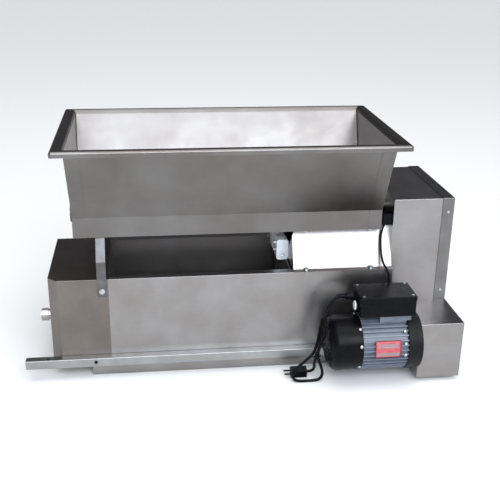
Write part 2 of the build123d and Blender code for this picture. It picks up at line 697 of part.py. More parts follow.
def motor_frame():
    sketch = Circle(frame_core_radius)
    for number in range(motor_fins):
        fin = Pos((motor_radius + frame_core_radius) / 2 - 2, 0) * Rectangle(
            motor_radius - frame_core_radius + 4, fin_thick
        )
        sketch += Rot(0, 0, 360 * (number + 0.5) / motor_fins) * fin
    long = motor_frame_right - motor_frame_left
    frame = Pos(0, motor_y, motor_z) * extrude(side_plane(motor_frame_left) * sketch, amount=long)
    pad = block(pad_left, pad_right, motor_y - pad_half, motor_y + pad_half, motor_z + 40, box_bottom)
    frame += pad
    return frame - rod_x(frame_bore_radius, motor_frame_left - 1, motor_frame_right + 1, motor_y, motor_z)


def motor_stator():
    return tube_x(frame_bore_radius, stator_bore_radius, stator_left, stator_right, motor_y, motor_z)


def motor_rotor():
    core = rod_x(rotor_radius, stator_left, stator_right, motor_y, motor_z)
    shaft = rod_x(motor_shaft_radius, motor_left + 22, drive_belt_x + shaft_stub, motor_y, motor_z)
    return core + shaft


def motor_fan():
    x0, x1 = motor_left + 26, motor_left + 56
    hub = rod_x(18, x0, x1, motor_y, motor_z)
    disc = rod_x(fan_radius, x1 - 3, x1, motor_y, motor_z)
    fan = hub + disc
    for number in range(fan_blades):
        blade = Pos(0, motor_y, motor_z) * Rot(360 * number / fan_blades, 0, 0) * block(
            x0, x1 - 2, -1.5, 1.5, 15, fan_radius - 1
        )
        fan += blade
    return fan - rod_x(motor_shaft_radius, x0 - 1, x1 + 1, motor_y, motor_z)


def fan_cover():
    right = motor_frame_left
    outer = rod_x(motor_radius, motor_left, right, motor_y, motor_z)
    outer = fillet(outer.faces().sort_by(Axis.X)[0].edges(), cover_dome)
    inner = rod_x(motor_radius - sheet, motor_left + sheet, right + 1, motor_y, motor_z)
    inner = fillet(inner.faces().sort_by(Axis.X)[0].edges(), cover_dome - sheet)
    cover = outer - inner
    for ring in range(cover_slots):
        reach = 18 + 10 * ring
        slot = tube_x(reach + 2.2, reach - 2.2, motor_left - 1, motor_left + 5, motor_y, motor_z)
        for turn in (0, 60, 120):
            spoke = Pos(0, motor_y, motor_z) * Rot(turn, 0, 0) * block(
                motor_left - 2, motor_left + 6, -motor_radius, motor_radius, -3, 3
            )
            slot -= spoke
        cover -= slot
    return cover


def end_shield(x0, x1, radius, bolts):
    shield = tube_x(radius, 20, x0, x1, motor_y, motor_z)
    if bolts:
        for y, z in motor_bolt_places():
            shield -= rod_x(bolt_radius + bolt_clear, x1 - 12, x1 + 1, y, z)
    return shield


def drive_end_shield():
    return end_shield(motor_frame_right, nose_left, motor_radius + 1, True)


def rear_end_shield():
    return end_shield(motor_frame_left - 12, motor_frame_left, motor_radius - sheet, False)


def motor_bearings():
    bore = motor_shaft_radius + slip
    rear = tube_x(20, bore, motor_frame_left - 12, motor_frame_left, motor_y, motor_z)
    front = tube_x(20, bore, nose_left - 13, nose_left - 1, motor_y, motor_z)
    return group([rear, front])


def motor_nameplate():
    plate = tube_x(motor_radius + 1, motor_radius + 0.05, plate_left, plate_end, motor_y, motor_z)
    front, back = motor_y - motor_radius - 14, motor_y - 40
    window = block(plate_left - 1, plate_end + 1, front, back, motor_z + plate_low, motor_z + plate_high)
    return plate & window


# ---- terminal box, switch and leads ------------------------------------------------------------------
def terminal_box():
    outer = block(box_left, box_right, box_front, box_back, box_bottom, box_lid_foot)
    outer = fillet(outer.edges().filter_by(Axis.Z), 4)
    inner = block(
        box_left + box_wall, box_right - box_wall, box_front + box_wall, box_back - box_wall,
        box_bottom + box_wall, box_lid_foot + 1,
    )
    shell = outer - inner
    shell += tube_x(bezel_radius, button_radius + 0.6, box_left - bezel_long, box_left, button_y, button_z)
    shell -= rod_x(button_stem + 0.4, box_left - 1, box_left + box_wall + 1, button_y, button_z)
    shell += rod_y(6, box_back - 1, box_back + cable_boss, box_left + cable_along, box_bottom + cable_up)
    return shell


def lid_corners():
    return [(x, y) for x in (box_left + 9, box_right - 9) for y in (box_front + 9, box_back - 9)]


def terminal_lid():
    lid = block(box_left - 1, box_right + 1, box_front - 1, box_back + 1, box_lid_foot, box_top)
    lid = fillet(lid.edges().filter_by(Axis.Z), 4)
    lid = fillet(lid.faces().sort_by(Axis.Z)[-1].edges(), 2)
    for x, y in lid_corners():
        lid -= rod_z(2 + bolt_clear, box_lid_foot - 1, box_top + 1, x, y)
    return lid


def run_capacitor():
    return rod_x(17, box_left + 40, box_right - 20, box_back - box_wall - 19, box_bottom + box_wall + 17)


def switch_block():
    rest = box_left + box_wall
    left = rest + button_travel + 8
    return block(left, left + 22, button_y - 14, button_y + 14, box_bottom + box_wall, box_bottom + 36)


def push_button():
    face = box_left - bezel_long - 3
    cap = rod_x(button_radius, face, face + button_thick, button_y, button_z)
    cap = fillet(cap.faces().sort_by(Axis.X)[0].edges(), 2)
    stem_end = box_left + box_wall + 7
    return cap + rod_x(button_stem, box_left - bezel_long, stem_end, button_y, button_z)


def cord_gland():
    end = box_left - gland_long
    outline = [
        (end, 0), (end, 5.5), (end + 10, 7.5), (end + 10, 10), (end + 18, 10), (box_left, 8), (box_left, 0),
    ]
    return spin_x(outline, gland_y, gland_z)


def bend_radii(points):
    """For each corner, the largest arc that its two runs allow."""
    spots = [Vector(*point) for point in points]
    radii = []
    for before, here, after in zip(spots, spots[1:], spots[2:]):
        turn = math.radians((here - before).get_angle(after - here))
        shorter = min((here - before).length, (after - here).length)
        radii.append(0.45 * shorter / math.tan(turn / 2))
    return radii


def lead(points, radius):
    radii = bend_radii(points)
    path = FilletPolyline(*points, radius=radii)
    start = Plane(origin=points[0], z_dir=(Vector(*points[1]) - Vector(*points[0])))
    print("lead", round(path.length, 1), "bend radii", [round(bend, 1) for bend in radii])
    return sweep(start * Circle(radius), path=path)


def power_cord():
    return lead(cord_route, cord_radius)


def cord_hank():
    """The folded and tied lead, as one closed outer shape."""
    return prism_y(hank_outline, hank_front, hank_back)


def power_plug():
    y0, y1 = hank_back, hank_back + plug_deep
    body = block(plug_left, plug_left + plug_long, y0, y1, 0.5, 0.5 + plug_high)
    body = fillet(body.edges().filter_by(Axis.X), 6)
    middle = (y0 + y1) / 2
    for y in (middle - 9.5, middle + 9.5):
        body += rod_x(2.4, plug_left - pin_long, plug_left + 1, y, 0.5 + plug_high / 2)
    return body


def safety_switch():
    middle = -half_foot_wide + switch_from_foot
    low = hopper_foot + switch_over_foot
    return block(body_right - switch_long, body_right, middle - 11, middle + 11, low, low + 30)


def switch_cable():
    return lead(cable_route, switch_cable_radius)


# ---- straps and fasteners ----------------------------------------------------------------------------
def hopper_straps():
    y, thick, top = half_body, strap_thick, hopper_foot
    inner = half_foot_wide
    outline = [
        (-y, strap_foot), (-y - thick, strap_foot), (-y - thick, strap_bend), (-inner - 1, top - thick),
        (-inner - 1, top), (-inner + strap_tab, top), (-inner + strap_tab, top - thick),
        (-inner + thick, top - thick), (-y, strap_bend - 1),
    ]
    strap = prism_x(outline, strap_left, strap_left + strap_wide)
    strap -= rod_y(bolt_radius + bolt_clear, -y - 10, -y + 10, strap_mid, strap_bolt)
    strap -= rod_z(bolt_radius + bolt_clear, top - 10, top + 10, strap_mid, -chute_top_y)
    return group([strap, mirrored(strap)])


def body_bolts():
    bolts = []
    for side in (-1, 1):
        strap_face = side * (half_body + strap_thick)
        bolts.append(bolt((strap_mid, strap_face, strap_bolt), (0, side, 0), 12, 3.0, 4.5))
        bolts.append(bolt((strap_mid, side * chute_top_y, hopper_foot - strap_thick), (0, 0, -1), 10))
        for x in chute_bolt_x:
            bolts.append(bolt((x, side * chute_foot_y, body_top + sheet), (0, 0, 1), 2 * sheet + 1, 3.0, 6.0))
            bolts.append(bolt((x, side * chute_top_y, hopper_foot - sheet), (0, 0, -1), 8))
        for z in block_bolt_z:
            grip = block_long + sheet + 1
            bolts.append(bolt((block_left, side * block_bolt_y, z), (-1, 0, 0), grip, 3.0, 9.0))
    return group(bolts)


def motor_bolts():
    return group([bolt((nose_left + sheet, y, z), (1, 0, 0), 12) for y, z in motor_bolt_places()])


def cover_screws():
    screws = []
    for x, y, z in lid_screw_places():
        out = -1 if y < 0 else 1
        screws.append(bolt((x, y, z), (0, out, 0), 7, bolt_radius - 1, 2.5))
    for x, y in lid_corners():
        screws.append(rod_z(3.8, box_top, box_top + 1.8, x, y) + rod_z(2, box_top - 11, box_top, x, y))
    return group(screws)


# ---- the whole machine -------------------------------------------------------------------------------
pieces = {
    "hopper": hopper(),
    "auger_trough": auger_trough(),
    "feed_auger": feed_auger(),
    "auger_bearings": auger_bearings(),
    "body_shell": body_shell(),
    "stalk_casing": stalk_casing(),
    "bearing_spider": bearing_spider(),
    "drive_plate": drive_plate(),
    "beater_cage": beater_cage(),
    "cage_hood": cage_hood(),
    "feed_guides": feed_guides(),
    "must_skirt": must_skirt(),
    "front_rail": rail(-1),
    "rear_rail": rail(1),
    "beater_shaft": beater_shaft(),
    "beater_arms": beater_arms(),
    "beater_paddles": beater_paddles(),
    "beater_bearing": beater_bearing(),
    "front_roller": roller(-roller_y, auger_belt_x + shaft_stub),
    "rear_roller": roller(roller_y, plate_right + gear_gap + gear_face + 4),
    "front_gear": gear(-roller_y, 0),
    "rear_gear": gear(roller_y, 180 / gear_teeth),
    "roller_box": roller_box(),
    "roller_blocks": roller_blocks(),
    "roller_bushes": roller_bushes(),
    "motor_pulley": pulley(motor_pulley_pitch, motor_shaft_radius, drive_belt_x, motor_y, motor_z),
    "beater_pulley": pulley(beater_pulley_pitch, beater_shaft_radius, drive_belt_x, 0, beater_height),
    "beater_small_pulley": pulley(beater_small_pitch, beater_shaft_radius, roller_belt_x, 0, beater_height),
    "roller_pulley": pulley(
        roller_pulley_pitch, roller_shaft_radius, roller_belt_x, -roller_y, roller_height
    ),
    "roller_small_pulley": pulley(
        roller_small_pitch, roller_shaft_radius, auger_belt_x, -roller_y, roller_height
    ),
    "auger_pulley": pulley(auger_pulley_pitch, auger_shaft_radius, auger_belt_x, 0, auger_height),
    "drive_belt": drive_belt(),
    "roller_belt": roller_belt(),
    "auger_belt": auger_belt(),
    "guard_housing": guard_housing(),
    "guard_lid": guard_lid(),
    "motor_frame": motor_frame(),
    "motor_stator": motor_stator(),
    "motor_rotor": motor_rotor(),
    "motor_fan": motor_fan(),
    "fan_cover": fan_cover(),
    "drive_end_shield": drive_end_shield(),
    "rear_end_shield": rear_end_shield(),
    "motor_bearings": motor_bearings(),
    "motor_nameplate": motor_nameplate(),
    "motor_bolts": motor_bolts(),
    "terminal_box": terminal_box(),
    "terminal_lid": terminal_lid(),
    "run_capacitor": run_capacitor(),
    "switch_block": switch_block(),
    "push_button": push_button(),
    "cord_gland": cord_gland(),
    "power_cord": power_cord(),
    "cord_hank": cord_hank(),
    "power_plug": power_plug(),
    "safety_switch": safety_switch(),
    "switch_cable": switch_cable(),
    "hopper_straps": hopper_straps(),
    "body_bolts": body_bolts(),
    "cover_screws": cover_screws(),
}

os.makedirs("parts", exist_ok=True)
for name, shape in pieces.items():
    export_step(Pos(-origin_x, -origin_y, 0) * shape, f"parts/{name}.step")
print("origin", origin_x, origin_y, "pieces", len(pieces))
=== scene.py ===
import json
import math

import bpy
import bmesh
from mathutils import Matrix, Vector

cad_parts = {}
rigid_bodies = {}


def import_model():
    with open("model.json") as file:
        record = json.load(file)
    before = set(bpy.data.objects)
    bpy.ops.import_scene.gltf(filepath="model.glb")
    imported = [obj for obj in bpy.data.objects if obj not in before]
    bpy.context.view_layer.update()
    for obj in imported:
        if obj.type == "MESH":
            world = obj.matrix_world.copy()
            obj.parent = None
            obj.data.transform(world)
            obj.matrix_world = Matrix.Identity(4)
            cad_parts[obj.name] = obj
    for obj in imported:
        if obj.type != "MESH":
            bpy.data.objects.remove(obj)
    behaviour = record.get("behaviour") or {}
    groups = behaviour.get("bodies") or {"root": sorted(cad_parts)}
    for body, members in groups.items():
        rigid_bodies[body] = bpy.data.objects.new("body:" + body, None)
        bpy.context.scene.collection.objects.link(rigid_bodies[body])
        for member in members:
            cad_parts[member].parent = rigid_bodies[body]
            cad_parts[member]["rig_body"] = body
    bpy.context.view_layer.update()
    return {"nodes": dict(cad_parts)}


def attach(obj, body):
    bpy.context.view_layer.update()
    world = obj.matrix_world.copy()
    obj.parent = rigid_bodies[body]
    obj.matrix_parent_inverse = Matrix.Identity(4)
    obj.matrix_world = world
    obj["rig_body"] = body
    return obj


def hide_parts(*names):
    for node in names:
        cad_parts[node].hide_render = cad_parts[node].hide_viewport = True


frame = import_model()
nodes = frame["nodes"]
bodyOf = {name: node["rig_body"] for name, node in nodes.items()}
machineBody = bodyOf["hopper"]
print("frame loaded,", len(nodes), "CAD nodes")

mm = 0.001
originShift = Vector((-30.0, 36.5, 0.0))  # machine drawing datum to the middle of the footprint, mm


def place(point):
    return (Vector(point) + originShift) * mm


# colours and shader nodes
def linear(hexColor):
    channels = [int(hexColor[i:i + 2], 16) / 255 for i in (1, 3, 5)]
    return [c / 12.92 if c <= 0.04045 else ((c + 0.055) / 1.055) ** 2.4 for c in channels] + [1.0]


def addNode(tree, kind, settings=None, links=None):
    # settings: attributes or input values by name or number; links: input -> (node, output)
    node = tree.nodes.new(kind)
    for key, value in (settings or {}).items():
        if isinstance(key, int) or key in node.inputs and not hasattr(type(node), str(key)):
            node.inputs[key].default_value = value
        else:
            setattr(node, key, value)
    for key, (source, output) in (links or {}).items():
        tree.links.new(source.outputs[output], node.inputs[key])
    return node


def newMaterial(name):
    material = bpy.data.materials.new(name)
    material.use_nodes = True
    tree = material.node_tree
    tree.nodes.clear()
    shader = tree.nodes.new("ShaderNodeBsdfPrincipled")
    output = tree.nodes.new("ShaderNodeOutputMaterial")
    tree.links.new(shader.outputs["BSDF"], output.inputs["Surface"])
    return material, tree, shader


def setRamp(ramp, stops):
    elements = ramp.color_ramp.elements
    while len(elements) < len(stops):
        elements.new(0.5)
    for element, (position, color) in zip(elements, stops):
        element.position = position
        element.color = linear(color)


def objectNoise(tree, coords, size, settings):
    # noise fixed to the piece, with patches of about the given size in mm
    scaled = {"Scale": 1 / (size * mm), **settings}
    return addNode(tree, "ShaderNodeTexNoise", scaled, {"Vector": (coords, "Object")})


def spreadOf(tree, noise, low, high):
    # a noise's middle range stretched between two values
    limits = {"From Min": 0.3, "From Max": 0.7, "To Min": low, "To Max": high}
    return addNode(tree, "ShaderNodeMapRange", limits, {0: (noise, 0)})


def brushLines(tree, coords, stretch):
    turned = addNode(tree, "ShaderNodeMapping", {"Scale": stretch}, {"Vector": (coords, "Object")})
    fineLines = {"Scale": 1.0, "Detail": 3.0, "Roughness": 0.6}
    return addNode(tree, "ShaderNodeTexNoise", fineLines, {"Vector": (turned, 0)})


brushed = {"smoother": 0.02, "rougher": 0.03, "byLines": 0.06, "depth": 0.05, "endFaces": 0.7}


def brushedStainless(name, s):
    # cold rolled 304 sheet with a fine lengthwise brush: soft streaked glints, hand smears and cloudy patches
    material, tree, shader = newMaterial(name)
    coords = addNode(tree, "ShaderNodeTexCoord")
    lines = 1 / (s["lineSpacing"] * mm)
    drawn = lines / s["lineLength"]
    brushX = brushLines(tree, coords, (drawn, lines, lines))
    brushZ = brushLines(tree, coords, (lines, lines, drawn))
    # end faces are brushed upright, all others along the machine
    geometry = addNode(tree, "ShaderNodeNewGeometry")
    split = addNode(tree, "ShaderNodeSeparateXYZ", links={0: (geometry, "True Normal")})
    facing = addNode(tree, "ShaderNodeMath", {"operation": "ABSOLUTE"}, {0: (split, "X")})
    overLimit = {"operation": "GREATER_THAN", 1: brushed["endFaces"]}
    isEnd = addNode(tree, "ShaderNodeMath", overLimit, {0: (facing, 0)})
    eitherWay = {0: (isEnd, 0), 2: (brushX, 0), 3: (brushZ, 0)}
    brush = addNode(tree, "ShaderNodeMix", {"data_type": "FLOAT"}, eitherWay)
    cloud = objectNoise(tree, coords, s["cloud"], {"Detail": 3.0, "Roughness": 0.55})
    smear = objectNoise(tree, coords, s["smear"], {"Detail": 2.0, "Distortion": 1.2})
    tone = addNode(tree, "ShaderNodeValToRGB", links={0: (cloud, 0)})
    setRamp(tone, [(0.32, s["dark"]), (0.68, s["light"])])
    streak = spreadOf(tree, brush, 1 - s["streak"], 1 + s["streak"])
    multiplied = {"data_type": "RGBA", "blend_type": "MULTIPLY", 0: 1.0}
    color = addNode(tree, "ShaderNodeMix", multiplied, {6: (tone, 0), 7: (streak, 0)})
    tree.links.new(color.outputs[2], shader.inputs["Base Color"])
    rough = spreadOf(tree, smear, s["rough"] - brushed["smoother"], s["rough"] + brushed["rougher"])
    linesAdded = {"operation": "MULTIPLY_ADD", 1: brushed["byLines"]}
    brushedRough = addNode(tree, "ShaderNodeMath", linesAdded, {0: (brush, 0), 2: (rough, 0)})
    tree.links.new(brushedRough.outputs[0], shader.inputs["Roughness"])
    depth = {"Strength": s["bump"], "Distance": brushed["depth"] * mm}
    bump = addNode(tree, "ShaderNodeBump", depth, {"Height": (brush, 0)})
    tree.links.new(bump.outputs[0], shader.inputs["Normal"])
    shader.inputs["Metallic"].default_value = 1.0
    return material


roughEitherSide = 0.07
lacquerRough = 0.12


def mottled(name, s):
    # two tones in soft patches with a fine surface grain: the base of cast, moulded and painted pieces
    material, tree, shader = newMaterial(name)
    coords = addNode(tree, "ShaderNodeTexCoord")
    patch = objectNoise(tree, coords, s["patch"], {"Detail": 4.0, "Roughness": 0.6})
    tone = addNode(tree, "ShaderNodeValToRGB", links={0: (patch, 0)})
    setRamp(tone, [(0.35, s["dark"]), (0.65, s["light"])])
    tree.links.new(tone.outputs[0], shader.inputs["Base Color"])
    grain = objectNoise(tree, coords, s["grain"], {"Detail": 2.0})
    rough = spreadOf(tree, patch, s["rough"] - roughEitherSide, s["rough"] + roughEitherSide)
    tree.links.new(rough.outputs[0], shader.inputs["Roughness"])
    depth = {"Strength": s["bump"], "Distance": s["depth"] * mm}
    bump = addNode(tree, "ShaderNodeBump", depth, {"Height": (grain, 0)})
    tree.links.new(bump.outputs[0], shader.inputs["Normal"])
    shader.inputs["Metallic"].default_value = s["metal"]
    if not s["metal"]:
        shader.inputs["IOR"].default_value = s["ior"]
        shader.inputs["Specular IOR Level"].default_value = s.get("shine", 0.5)
        shader.inputs["Coat Weight"].default_value = s.get("coat", 0.0)
        shader.inputs["Coat Roughness"].default_value = lacquerRough
    return material


finishes = {
    # body and guards: dull 2B sheet, brush lines really 0.1 mm apart are drawn 0.9 mm apart so that they show
    "stainless_sheet": brushedStainless("brushedSheet304", dict(
        dark="#8d8986", light="#9c9a9a", lineSpacing=0.9, lineLength=60, cloud=120, smear=45,
        streak=0.035, rough=0.30, bump=0.25,
    )),
    # hopper: the same steel with a darker base, painted shade for the outer walls that face the shadowed
    # floor beside the machine
    "stainless_hopper": brushedStainless("brushedHopper304", dict(
        dark="#6b6764", light="#797775", lineSpacing=0.9, lineLength=60, cloud=150, smear=60,
        streak=0.035, rough=0.27, bump=0.25,
    )),
    # box section and flat bar, ground and dulled
    "stainless_bar": brushedStainless("groundBar304", dict(
        dark="#979898", light="#a8aaab", lineSpacing=0.7, lineLength=80, cloud=60, smear=25,
        streak=0.05, rough=0.34, bump=0.3,
    )),
    # turned and drawn shafting: bright, tight lines round or along the bar
    "steel_shaft": brushedStainless("turnedSteel", dict(
        dark="#a9a7a3", light="#bcbab6", lineSpacing=0.6, lineLength=30, cloud=40, smear=20,
        streak=0.05, rough=0.24, bump=0.3,
    )),
    # zinc plate over steel: pale, slightly blue, a little cloudy
    "zinc_fastener": mottled("zincPlate", dict(
        dark="#a9adb0", light="#c9cccd", patch=3, grain=0.6, rough=0.34, bump=0.2, depth=0.05,
        metal=1.0,
    )),
    # cast aluminium left as machined: light grey with a soft grain
    "roller_alloy": mottled("castAlloy", dict(
        dark="#a3a4a4", light="#bdbebf", patch=18, grain=0.8, rough=0.42, bump=0.3, depth=0.08,
        metal=1.0,
    )),
    # food grade nitrile: blackish brown, matt
    "beater_rubber": mottled("nitrileRubber", dict(
        dark="#1d1b19", light="#2b2825", patch=12, grain=0.7, rough=0.62, bump=0.35, depth=0.1,
        metal=0.0, ior=1.52,
    )),
    # natural nylon blocks: milky white, waxy
    "nylon_block": mottled("naturalNylon", dict(
        dark="#dfe3ea", light="#eef2f8", patch=14, grain=0.8, rough=0.42, bump=0.15, depth=0.06,
        metal=0.0, ior=1.53,
    )),
    # grey iron, machined and oiled
    "gear_iron": mottled("greyIron", dict(
        dark="#4d4c4b", light="#6c6a68", patch=10, grain=0.7, rough=0.46, bump=0.35, depth=0.1,
        metal=1.0,
    )),
    # wrapped belt: fabric faced rubber
    "belt_rubber": mottled("wrappedBelt", dict(
        dark="#141414", light="#232323", patch=6, grain=0.8, rough=0.7, bump=0.5, depth=0.15,
        metal=0.0, ior=1.52,
    )),
    # die-cast motor housing in a blue-grey enamel
    "motor_alloy": mottled("blueGreyEnamel", dict(
        dark="#59626e", light="#6b7480", patch=22, grain=0.9, rough=0.4, bump=0.25, depth=0.08,
        metal=0.0, ior=1.5, coat=0.15,
    )),
    # laminations and rotor
    "motor_iron": mottled("laminatedSteel", dict(
        dark="#54514d", light="#6f6b66", patch=8, grain=0.6, rough=0.45, bump=0.3, depth=0.1,
        metal=1.0,
    )),
    # moulded ABS and nylon, semi gloss black
    "black_plastic": mottled("mouldedBlackAbs", dict(
        dark="#060608", light="#0b0b0f", patch=30, grain=0.7, rough=0.3, bump=0.22, depth=0.06,
        metal=0.0, ior=1.53, shine=0.09,
    )),
    # white push button
    "button_white": mottled("mouldedWhitePolycarbonate", dict(
        dark="#e4e4e2", light="#f2f2f0", patch=8, grain=0.5, rough=0.3, bump=0.1, depth=0.04,
        metal=0.0, ior=1.58,
    )),
    # printed foil plate
    "plate_foil": mottled("printedFoil", dict(
        dark="#a9434c", light="#bb5a60", patch=9, grain=0.5, rough=0.36, bump=0.1, depth=0.03,
        metal=0.0, ior=1.5,
    )),
    # flexible PVC sheath
    "cord_pvc": mottled("softPvc", dict(
        dark="#060607", light="#0b0b0d", patch=25, grain=0.7, rough=0.42, bump=0.2, depth=0.05,
        metal=0.0, ior=1.53, shine=0.09,
    )),
}

# pieces whose surface is drawn apart from the rest of their stock; on some the tone is painted shade
ownFinishes = {
    # casing sheet drawn warmer and darker: painted shade for the dimmer surroundings reflected at this end of
    # the machine
    "stalk_casing": brushedStainless("warmSheet304", dict(
        dark="#716a64", light="#7e7872", lineSpacing=0.9, lineLength=60, cloud=110, smear=45,
        streak=0.035, rough=0.33, bump=0.25,
    )),
    # lid pressed from darker sheet
    "guard_lid": brushedStainless("lidSheet304", dict(
        dark="#737170", light="#828180", lineSpacing=0.9, lineLength=60, cloud=90, smear=40,
        streak=0.035, rough=0.32, bump=0.25,
    )),
    # hot rolled flat bar, descaled and dull
    "hopper_straps": brushedStainless("pickledFlatBar", dict(
        dark="#5f5f60", light="#707071", lineSpacing=0.8, lineLength=30, cloud=30, smear=15,
        streak=0.05, rough=0.42, bump=0.3,
    )),
    # cast shield, sprayed black; at the drive end the black is also painted shade for the shaded gap beside
    # the motor box
    "drive_end_shield": mottled("blackSprayPaint", dict(
        dark="#050506", light="#0a0a0c", patch=20, grain=0.8, rough=0.5, bump=0.25, depth=0.08,
        metal=0.0, ior=1.45, shine=0.25,
    )),
}
ownFinishes["rear_end_shield"] = ownFinishes["drive_end_shield"]

for name, node in nodes.items():
    for materialSlot in node.material_slots:
        known = materialSlot.material.name.split(".")[0]
        materialSlot.material = ownFinishes.get(name, finishes[known])
print("finishes given to the CAD nodes")

# where the machine is seen from, in its own datum
camera = {
    "spot": (-215.886, -2183.427, 1167.163), "yaw": 0.13047, "pitch": 0.37734, "roll": 0.01472,
    "lens": 58.984, "sensor": 36.0,
}
cameraData = bpy.data.cameras.new("camera")
cameraData.sensor_width = camera["sensor"]
cameraData.lens = camera["lens"]
cameraData.clip_end = 200.0
cameraObject = bpy.data.objects.new("camera", cameraData)
bpy.context.scene.collection.objects.link(cameraObject)
yaw, pitch, roll = camera["yaw"], camera["pitch"], camera["roll"]
forward = Vector((math.sin(yaw) * math.cos(pitch), math.cos(yaw) * math.cos(pitch), -math.sin(pitch)))
rightward = Vector((math.cos(yaw), -math.sin(yaw), 0.0))
upward = rightward.cross(forward)
rolledRight = rightward * math.cos(roll) + upward * math.sin(roll)
rolledUp = upward * math.cos(roll) - rightward * math.sin(roll)
turn = Matrix((rolledRight, rolledUp, -forward)).transposed().to_4x4()
cameraObject.matrix_world = Matrix.Translation(place(camera["spot"])) @ turn
bpy.context.scene.camera = cameraObject
bpy.context.scene.view_settings.view_transform = "Standard"

# studio
floorMesh = bpy.data.meshes.new("floor")
floorReach = 30.0
floorSigns = [(-1, -1), (1, -1), (1, 1), (-1, 1)]
floorCorners = [(x * floorReach, y * floorReach, 0) for x, y in floorSigns]
floorMesh.from_pydata(floorCorners, [], [(0, 1, 2, 3)])
floor = bpy.data.objects.new("floor", floorMesh)
bpy.context.scene.collection.objects.link(floor)
paperLook = {"color": "#efefee", "rough": 0.9, "shine": 0.2}
paper, _, paperShader = newMaterial("palePaper")
paperShader.inputs["Base Color"].default_value = linear(paperLook["color"])
paperShader.inputs["Roughness"].default_value = paperLook["rough"]
paperShader.inputs["Specular IOR Level"].default_value = paperLook["shine"]
floor.data.materials.append(paper)

softBoxes = {
    "frontBox": dict(spot=(0.4, -4.6, 2.9), size=(4.6, 2.4), power=230, color="#eef4ff"),
    "topBox": dict(spot=(0.0, 0.3, 3.6), size=(3.6, 3.6), power=38, color="#ffffff"),
}
aimHeight = 0.3  # the lights look at the middle of the machine
for name, s in softBoxes.items():
    light = bpy.data.lights.new(name, "AREA")
    light.shape = "RECTANGLE"
    light.size, light.size_y = s["size"]
    light.energy = s["power"]
    light.color = linear(s["color"])[:3]
    lamp = bpy.data.objects.new(name, light)
    lamp.location = s["spot"]
    towards = Vector((0, 0, aimHeight)) - Vector(s["spot"])
    lamp.rotation_euler = towards.to_track_quat("-Z", "Y").to_euler()
    bpy.context.scene.collection.objects.link(lamp)

ceiling = {"strength": 1.7, "spread": 70, "tilt": (24, 6, 0)}  # the wide even light of a white room
ceilingLight = bpy.data.lights.new("ceiling", "SUN")
ceilingLight.energy = ceiling["strength"]
ceilingLight.angle = math.radians(ceiling["spread"])
ceilingLamp = bpy.data.objects.new("ceiling", ceilingLight)
ceilingLamp.rotation_euler = [math.radians(angle) for angle in ceiling["tilt"]]
bpy.context.scene.collection.objects.link(ceilingLamp)

# the room: pale before the machine, dusky behind it
room = {"front": "#dfe4ea", "back": "#5a5b60", "frontEnd": -0.5, "backEnd": 0.7, "strength": 0.75}
world = bpy.data.worlds.new("studio")
bpy.context.scene.world = world
world.use_nodes = True
sky = world.node_tree
sky.nodes.clear()
skyCoords = addNode(sky, "ShaderNodeTexCoord")
skySplit = addNode(sky, "ShaderNodeSeparateXYZ", links={0: (skyCoords, "Generated")})
frontToBack = {"From Min": room["frontEnd"], "From Max": room["backEnd"], "To Min": 0.0, "To Max": 1.0}
frontness = addNode(sky, "ShaderNodeMapRange", frontToBack, {0: (skySplit, "Y")})
skyRamp = addNode(sky, "ShaderNodeValToRGB", links={0: (frontness, 0)})
setRamp(skyRamp, [(0.0, room["front"]), (1.0, room["back"])])
skyLight = addNode(sky, "ShaderNodeBackground", {"Strength": room["strength"]}, {"Color": (skyRamp, 0)})
addNode(sky, "ShaderNodeOutputWorld", links={"Surface": (skyLight, 0)})
print("camera and studio set")


# folded sheet: each long outer edge gets its bend radius
foldRules = {"foldAngle": 25, "smoothBelow": 32, "flat": 0.99, "leastWidth": 2.2}


def widthOf(face):
    around = sum(edge.calc_length() for edge in face.edges)
    return 2 * face.calc_area() / around


def foldedCopy(name, s):
    source = nodes[name]
    shape = bmesh.new()
    shape.from_mesh(source.data)
    bmesh.ops.remove_doubles(shape, verts=shape.verts, dist=0.01 * mm)
    # faces of the arched bulkheads keep their triangles
    flat = foldRules["flat"]
    across = {face for face in shape.faces if s.get("arched") and abs(face.normal.x) > flat}
    whole = [edge for edge in shape.edges if not across.intersection(edge.link_faces)]
    bmesh.ops.dissolve_limit(shape, angle_limit=math.radians(0.5), verts=[], edges=whole)
    folds = []
    for edge in shape.edges:
        if len(edge.link_faces) != 2 or edge.calc_length() < s["shortest"] * mm or not edge.is_convex:
            continue
        if s.get("arched") and any(face.normal.z < -flat for face in edge.link_faces):
            continue  # the cut lower edge of the sheet stays sharp
        narrowest = min(widthOf(face) for face in edge.link_faces)
        wideEnough = narrowest > foldRules["leastWidth"] * s["radius"] * mm
        if edge.calc_face_angle() > math.radians(foldRules["foldAngle"]) and wideEnough:
            folds.append(edge)
    bmesh.ops.bevel(
        shape, geom=folds, offset=s["radius"] * mm, offset_type="OFFSET", segments=3, profile=0.5,
        affect="EDGES", clamp_overlap=False,
    )
    smoothBelow = math.radians(foldRules["smoothBelow"])
    for face in shape.faces:
        face.smooth = True
    for edge in shape.edges:
        edge.smooth = len(edge.link_faces) == 2 and edge.calc_face_angle() < smoothBelow
    mesh = bpy.data.meshes.new(name + "Folded")
    shape.to_mesh(mesh)
    shape.free()
    piece = bpy.data.objects.new(name + "Folded", mesh)
    piece.matrix_world = source.matrix_world.copy()
    bpy.context.scene.collection.objects.link(piece)
    mesh.materials.append(source.material_slots[0].material)
    weighted = piece.modifiers.new("weighted", "WEIGHTED_NORMAL")
    weighted.keep_sharp = True
    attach(piece, bodyOf[name])
    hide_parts(name)
    return piece


